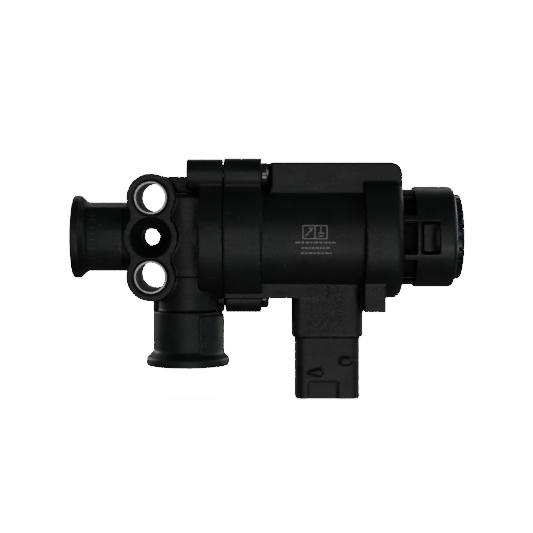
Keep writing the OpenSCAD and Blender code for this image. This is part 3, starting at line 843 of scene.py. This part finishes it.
class VALVE_OT_body(bpy.types.Operator):
    """Build the valve body with its two threaded ports"""

    bl_idname = "valve.body"
    bl_label = "Valve body"

    def execute(self, context):
        sizes, colours = context.scene.valve_sizes, context.scene.valve_colours
        black = moulded_plastic("valve_body_plastic", tuple(colours.plastic), 0.44)
        body = remoulded("valve_body", "valve_body_shell")
        finish_piece(body, black, "valve", "moulded_black", "valve_body")

        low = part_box("valve_body")[0]
        ports = (
            ("inline_port_thread", (low.x, AXIS_Y, 0), TURN_TO_X),
            ("down_port_thread", (DOWN_PORT_X, AXIS_Y, low.z), (0, 0, 0)),
        )
        for name, mouth, turn in ports:
            ridge = thread_ridge(
                name, PORT_BORE_R, True, sizes.thread_pitch, sizes.thread_turns,
            )
            in_edit(ridge, lambda: bpy.ops.transform.translate(value=(0, 0, THREAD_START)))
            place_at(ridge, mouth, turn)
            finish_piece(ridge, black, "valve", "moulded_black")
        return {"FINISHED"}


class VALVE_OT_housing(bpy.types.Operator):
    """Build the coil housing with its plug socket"""

    bl_idname = "valve.housing"
    bl_label = "Coil housing"

    def execute(self, context):
        colours = context.scene.valve_colours
        black = moulded_plastic("coil_housing_plastic", tuple(colours.plastic), 0.44, patch=True)
        housing = remoulded("coil_housing", "coil_housing_shell")
        finish_piece(housing, black, "valve", "moulded_black", "coil_housing")
        return {"FINISHED"}


class VALVE_OT_sleeves(bpy.types.Operator):
    """Build the two steel sleeves of the mounting boss"""

    bl_idname = "valve.sleeves"
    bl_label = "Mounting sleeves"

    def execute(self, context):
        colours = context.scene.valve_colours
        zinc = plated_steel(
            "zinc_sleeve", lighter(tuple(colours.zinc), SLEEVE_SHADE), 0.3, (1, 0.05, 1), 0.7,
            bore_depth=BORE_SHADE_START,
        )
        for node in ("mounting_sleeve_upper", "mounting_sleeve_lower"):
            low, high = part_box(node)
            sleeve = ring(
                node + "_tube", (low + high) / 2, (high.x - low.x) / 2, SLEEVE_WALL,
                high.y - low.y, SLEEVE_BEVEL,
            )
            finish_piece(sleeve, zinc, "valve", "zinc_steel", node)
        return {"FINISHED"}


class VALVE_OT_screws(bpy.types.Operator):
    """Build the two flange screws with their threads"""

    bl_idname = "valve.screws"
    bl_label = "Flange screws"

    def execute(self, context):
        colours = context.scene.valve_colours
        # Painted reflection and shade darken each screw's zinc.
        for node, shade in SCREW_PAINTED_SHADES.items():
            zinc = plated_steel(node + "_zinc", lighter(tuple(colours.zinc), shade), 0.2)
            low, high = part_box(node)
            screw = remoulded(node, node + "_head")
            thread = thread_ridge("ridge", SCREW_R, False, SCREW_PITCH, SCREW_TURNS)
            place_at(
                thread, (low.x + SCREW_LEAD, (low.y + high.y) / 2, (low.z + high.z) / 2),
                TURN_TO_X,
            )
            screw = joined(node + "_threaded", [screw, thread])
            finish_piece(screw, zinc, "valve", "zinc_steel", node)
        return {"FINISHED"}


class VALVE_OT_vent(bpy.types.Operator):
    """Build the vent cap, its carrier and the glossy end disc"""

    bl_idname = "valve.vent"
    bl_label = "Vent"

    def execute(self, context):
        colours = context.scene.valve_colours
        black = moulded_plastic("vent_plastic", tuple(colours.plastic), 0.4, 0.22)
        gloss = glossy_plastic("end_disc_gloss", tuple(colours.gloss))
        for node, material, slot in (
            ("vent_cap", black, "vent_black"),
            ("vent_carrier", black, "vent_black"),
            ("end_disc", gloss, "gloss_black"),
        ):
            shell = remoulded(node, node + "_shell")
            finish_piece(shell, material, "valve", slot, node)
        coat("silencer_pad", sintered_fibre("silencer_fibre", FIBRE))
        coat("umbrella_valve", moulded_rubber("umbrella_silicone", SILICONE))
        return {"FINISHED"}


class VALVE_OT_markings(bpy.types.Operator):
    """Etch a plain valve symbol on the coil and raise plain dashes on the port stubs"""

    bl_idname = "valve.markings"
    bl_label = "Markings"

    def execute(self, context):
        sizes, colours = context.scene.valve_sizes, context.scene.valve_colours
        pale = etched_mark("etched_grey", tuple(colours.mark))
        etched = flow_symbol(SYMBOL_X, SYMBOL_Z, sizes.mark_width / MM, SYMBOL_LINE)
        for row in DASH_ROWS:
            etched += dash_row(*row)
        mark = wrapped(
            "etched_symbol", etched, "coil_housing_shell", sizes.mark_rise, MARK_SINK,
        )
        finish_piece(mark, pale, "valve", "moulded_black")

        rubbed = lighter(tuple(colours.plastic), RAISED_SHADE)
        black = moulded_plastic("raised_mark_plastic", rubbed, 0.4)
        raised = wrapped(
            "raised_dashes", INLINE_PORT_BARS + ARROW_BARS + DOWN_PORT_BARS,
            "valve_body_shell", RAISED_RISE, RAISED_SINK,
        )
        finish_piece(raised, black, "valve", "moulded_black")
        return {"FINISHED"}


def dash_row(x, z, length, pattern):
    """Short bars side by side, from x to the right."""
    bars, at, index = [], 0.0, 0
    while at < length - DASH_GAP:
        width = min(pattern[index % len(pattern)], length - at)
        bars.append((x + at + width / 2, z, width, DASH_HEIGHT))
        at += width + DASH_GAP
        index += 1
    return bars


def flow_symbol(x, z, width, line):
    """Two boxes side by side: an arrow through one, a blocked way and a vent in the other."""
    height, half = width * SYMBOL_HEIGHT, width / 2
    outline = [(x, z + s * height / 2, width, line) for s in (-1, 1)]
    outline += [(x + s * half, z, height, line, 90) for s in (-1, 0, 1)]
    slope = math.degrees(math.atan2(height * 0.7, half * 0.7))
    arrow = [
        (x - half / 2, z, half * 0.95, line, slope),
        (x - half * 0.28, z + height * 0.18, 1.0, line, 90),
        (x - half * 0.4, z + height * 0.3, 1.0, line),
    ]
    blocked = [
        (x + half * 0.5, z + height * 0.18, height * 0.5, line, 90),
        (x + half * 0.5, z - height * 0.08, half * 0.5, line),
    ]
    vent = [(x + half * 0.5, z - height * 0.3, half * 0.4, line)]
    return outline + arrow + blocked + vent


# ---- Solenoid ----


class VALVE_OT_solenoid(bpy.types.Operator):
    """Wind the coil and finish the fixed parts of the solenoid and the pins"""

    bl_idname = "valve.solenoid"
    bl_label = "Solenoid"

    def execute(self, context):
        colours = context.scene.valve_colours
        steel = tuple(colours.steel)
        copper = wound_copper("enamelled_copper", tuple(colours.copper), WIRE_D / MM)
        finish_piece(wound_coil(), copper, "valve", "copper_wire", "copper_winding")
        coat("bobbin", nylon("bobbin_nylon", NYLON))
        coat("magnet_yoke", plated_steel("yoke_zinc", lighter(steel, 0.9), 0.38))
        stainless = plated_steel("drawn_stainless", lighter(steel, 1.1), 0.24, (0.05, 1, 1), 0.1)
        coat("guide_tube", stainless)
        coat("fixed_core", plated_steel("core_steel", steel, 0.3, (1, 0.2, 0.2), 0.2))
        rubber = moulded_rubber("ring_rubber", RING_RUBBER)
        coat("core_oring", rubber)
        coat("flange_oring", rubber)
        tin = plated_steel("tinned_brass", TIN, 0.26, (1, 1, 0.06), 0.25)
        coat("contact_pin_left", tin)
        coat("contact_pin_right", tin)
        return {"FINISHED"}


def wound_coil():
    """Turns of wire side by side round a sleeve, with a tail to each contact pin."""
    low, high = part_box("copper_winding")
    radius, length = (high.y - low.y) / 2, high.x - low.x
    count = int(length / WIRE_D)
    gap = (length - count * WIRE_D) / 2
    deselect()
    bpy.ops.mesh.primitive_torus_add(
        major_radius=radius - WIRE_D / 2, minor_radius=WIRE_D * WIRE_FILL, major_segments=80,
        minor_segments=8, location=(low.x + gap + WIRE_D / 2, AXIS_Y, 0), rotation=TURN_TO_X,
    )
    turns = settle(start("turns"))
    modify(
        turns, "ARRAY", count=count, use_relative_offset=False, use_constant_offset=True,
        constant_offset_displace=(WIRE_D, 0, 0),
    )
    deselect()
    bpy.ops.mesh.primitive_cylinder_add(
        vertices=80, radius=radius - WIRE_D / 2, depth=length, end_fill_type="NOTHING",
        location=((low.x + high.x) / 2, AXIS_Y, 0), rotation=TURN_TO_X,
    )
    sleeve = settle(start("sleeve"))
    in_edit(sleeve, outward)
    modify(sleeve, "SOLIDIFY", thickness=WINDING_DEPTH - WIRE_D / 2, offset=-1.0)
    pieces = [turns, sleeve]
    for pin in ("contact_pin_left", "contact_pin_right"):
        middle = (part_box(pin)[0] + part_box(pin)[1]) / 2
        top = -radius + TAIL_R
        deselect()
        bpy.ops.mesh.primitive_cylinder_add(
            vertices=16, radius=TAIL_R, depth=top - low.z,
            location=(middle.x, AXIS_Y, (top + low.z) / 2),
        )
        pieces.append(settle(start("tail")))
    return smooth(joined("wound_coil", pieces), 40)


def coil_spring():
    """The return spring: round wire wound about the valve axis."""
    low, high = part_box("return_spring")
    radius = (high.y - low.y) / 2 - SPRING_WIRE_R
    length = high.x - low.x - 2 * SPRING_WIRE_R
    deselect()
    bpy.ops.mesh.primitive_circle_add(
        vertices=14, radius=SPRING_WIRE_R, location=(radius, 0, 0), rotation=TURN_TO_Y,
    )
    spring = settle(start("return_spring_coil"))
    smooth(wind(spring, length, SPRING_TURNS), 40)
    return place_at(spring, (low.x + SPRING_WIRE_R, AXIS_Y, 0), TURN_TO_X)


class VALVE_OT_armature(bpy.types.Operator):
    """Finish the plunger, its two seals and the return spring"""

    bl_idname = "valve.armature"
    bl_label = "Armature"

    def execute(self, context):
        steel = tuple(context.scene.valve_colours.steel)
        coat("plunger", plated_steel("plunger_steel", steel, 0.22, (1, 0.15, 0.15), 0.15))
        seal = moulded_rubber("seal_rubber", SEAL_RUBBER)
        coat("inlet_seal", seal)
        coat("exhaust_seal", seal)
        wire = plated_steel("spring_steel", lighter(steel, 1.15), 0.2, (1, 1, 1), 0.1)
        spring = coil_spring()
        finish_piece(spring, wire, "valve", "spring_steel", "return_spring")
        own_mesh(spring)
        return {"FINISHED"}


# ---- Panel and running order ----


class VALVE_PT_panel(bpy.types.Panel):
    """Lists the steps that build the valve"""

    bl_idname = "VALVE_PT_panel"
    bl_label = "Diverter valve"
    bl_space_type = "VIEW_3D"
    bl_region_type = "UI"
    bl_category = "Valve"

    def draw(self, context):
        for step in STEPS:
            self.layout.operator(step.bl_idname)
        for group in (context.scene.valve_sizes, context.scene.valve_colours,
                      context.scene.valve_camera):
            box = self.layout.box()
            for key in group.__annotations__:
                box.prop(group, key)


STEPS = (
    VALVE_OT_stage, VALVE_OT_body, VALVE_OT_housing, VALVE_OT_sleeves, VALVE_OT_screws,
    VALVE_OT_vent, VALVE_OT_markings, VALVE_OT_solenoid, VALVE_OT_armature,
)
GROUPS = {
    "valve_sizes": ValveSizes, "valve_colours": ValveColours, "valve_camera": CameraSettings,
}


def register():
    """Registers the settings, the steps and the panel."""
    for group in GROUPS.values():
        bpy.utils.register_class(group)
    for key, group in GROUPS.items():
        setattr(bpy.types.Scene, key, PointerProperty(type=group))
    for step in (*STEPS, VALVE_PT_panel):
        bpy.utils.register_class(step)


def unregister():
    """Takes away what register added, in reverse."""
    for step in reversed((*STEPS, VALVE_PT_panel)):
        bpy.utils.unregister_class(step)
    for key, group in GROUPS.items():
        delattr(bpy.types.Scene, key)
        bpy.utils.unregister_class(group)


def main():
    """Builds everything."""
    register()
    for step in STEPS:
        group, name = step.bl_idname.split(".")
        getattr(getattr(bpy.ops, group), name)()


if __name__ == "__main__":
    main()
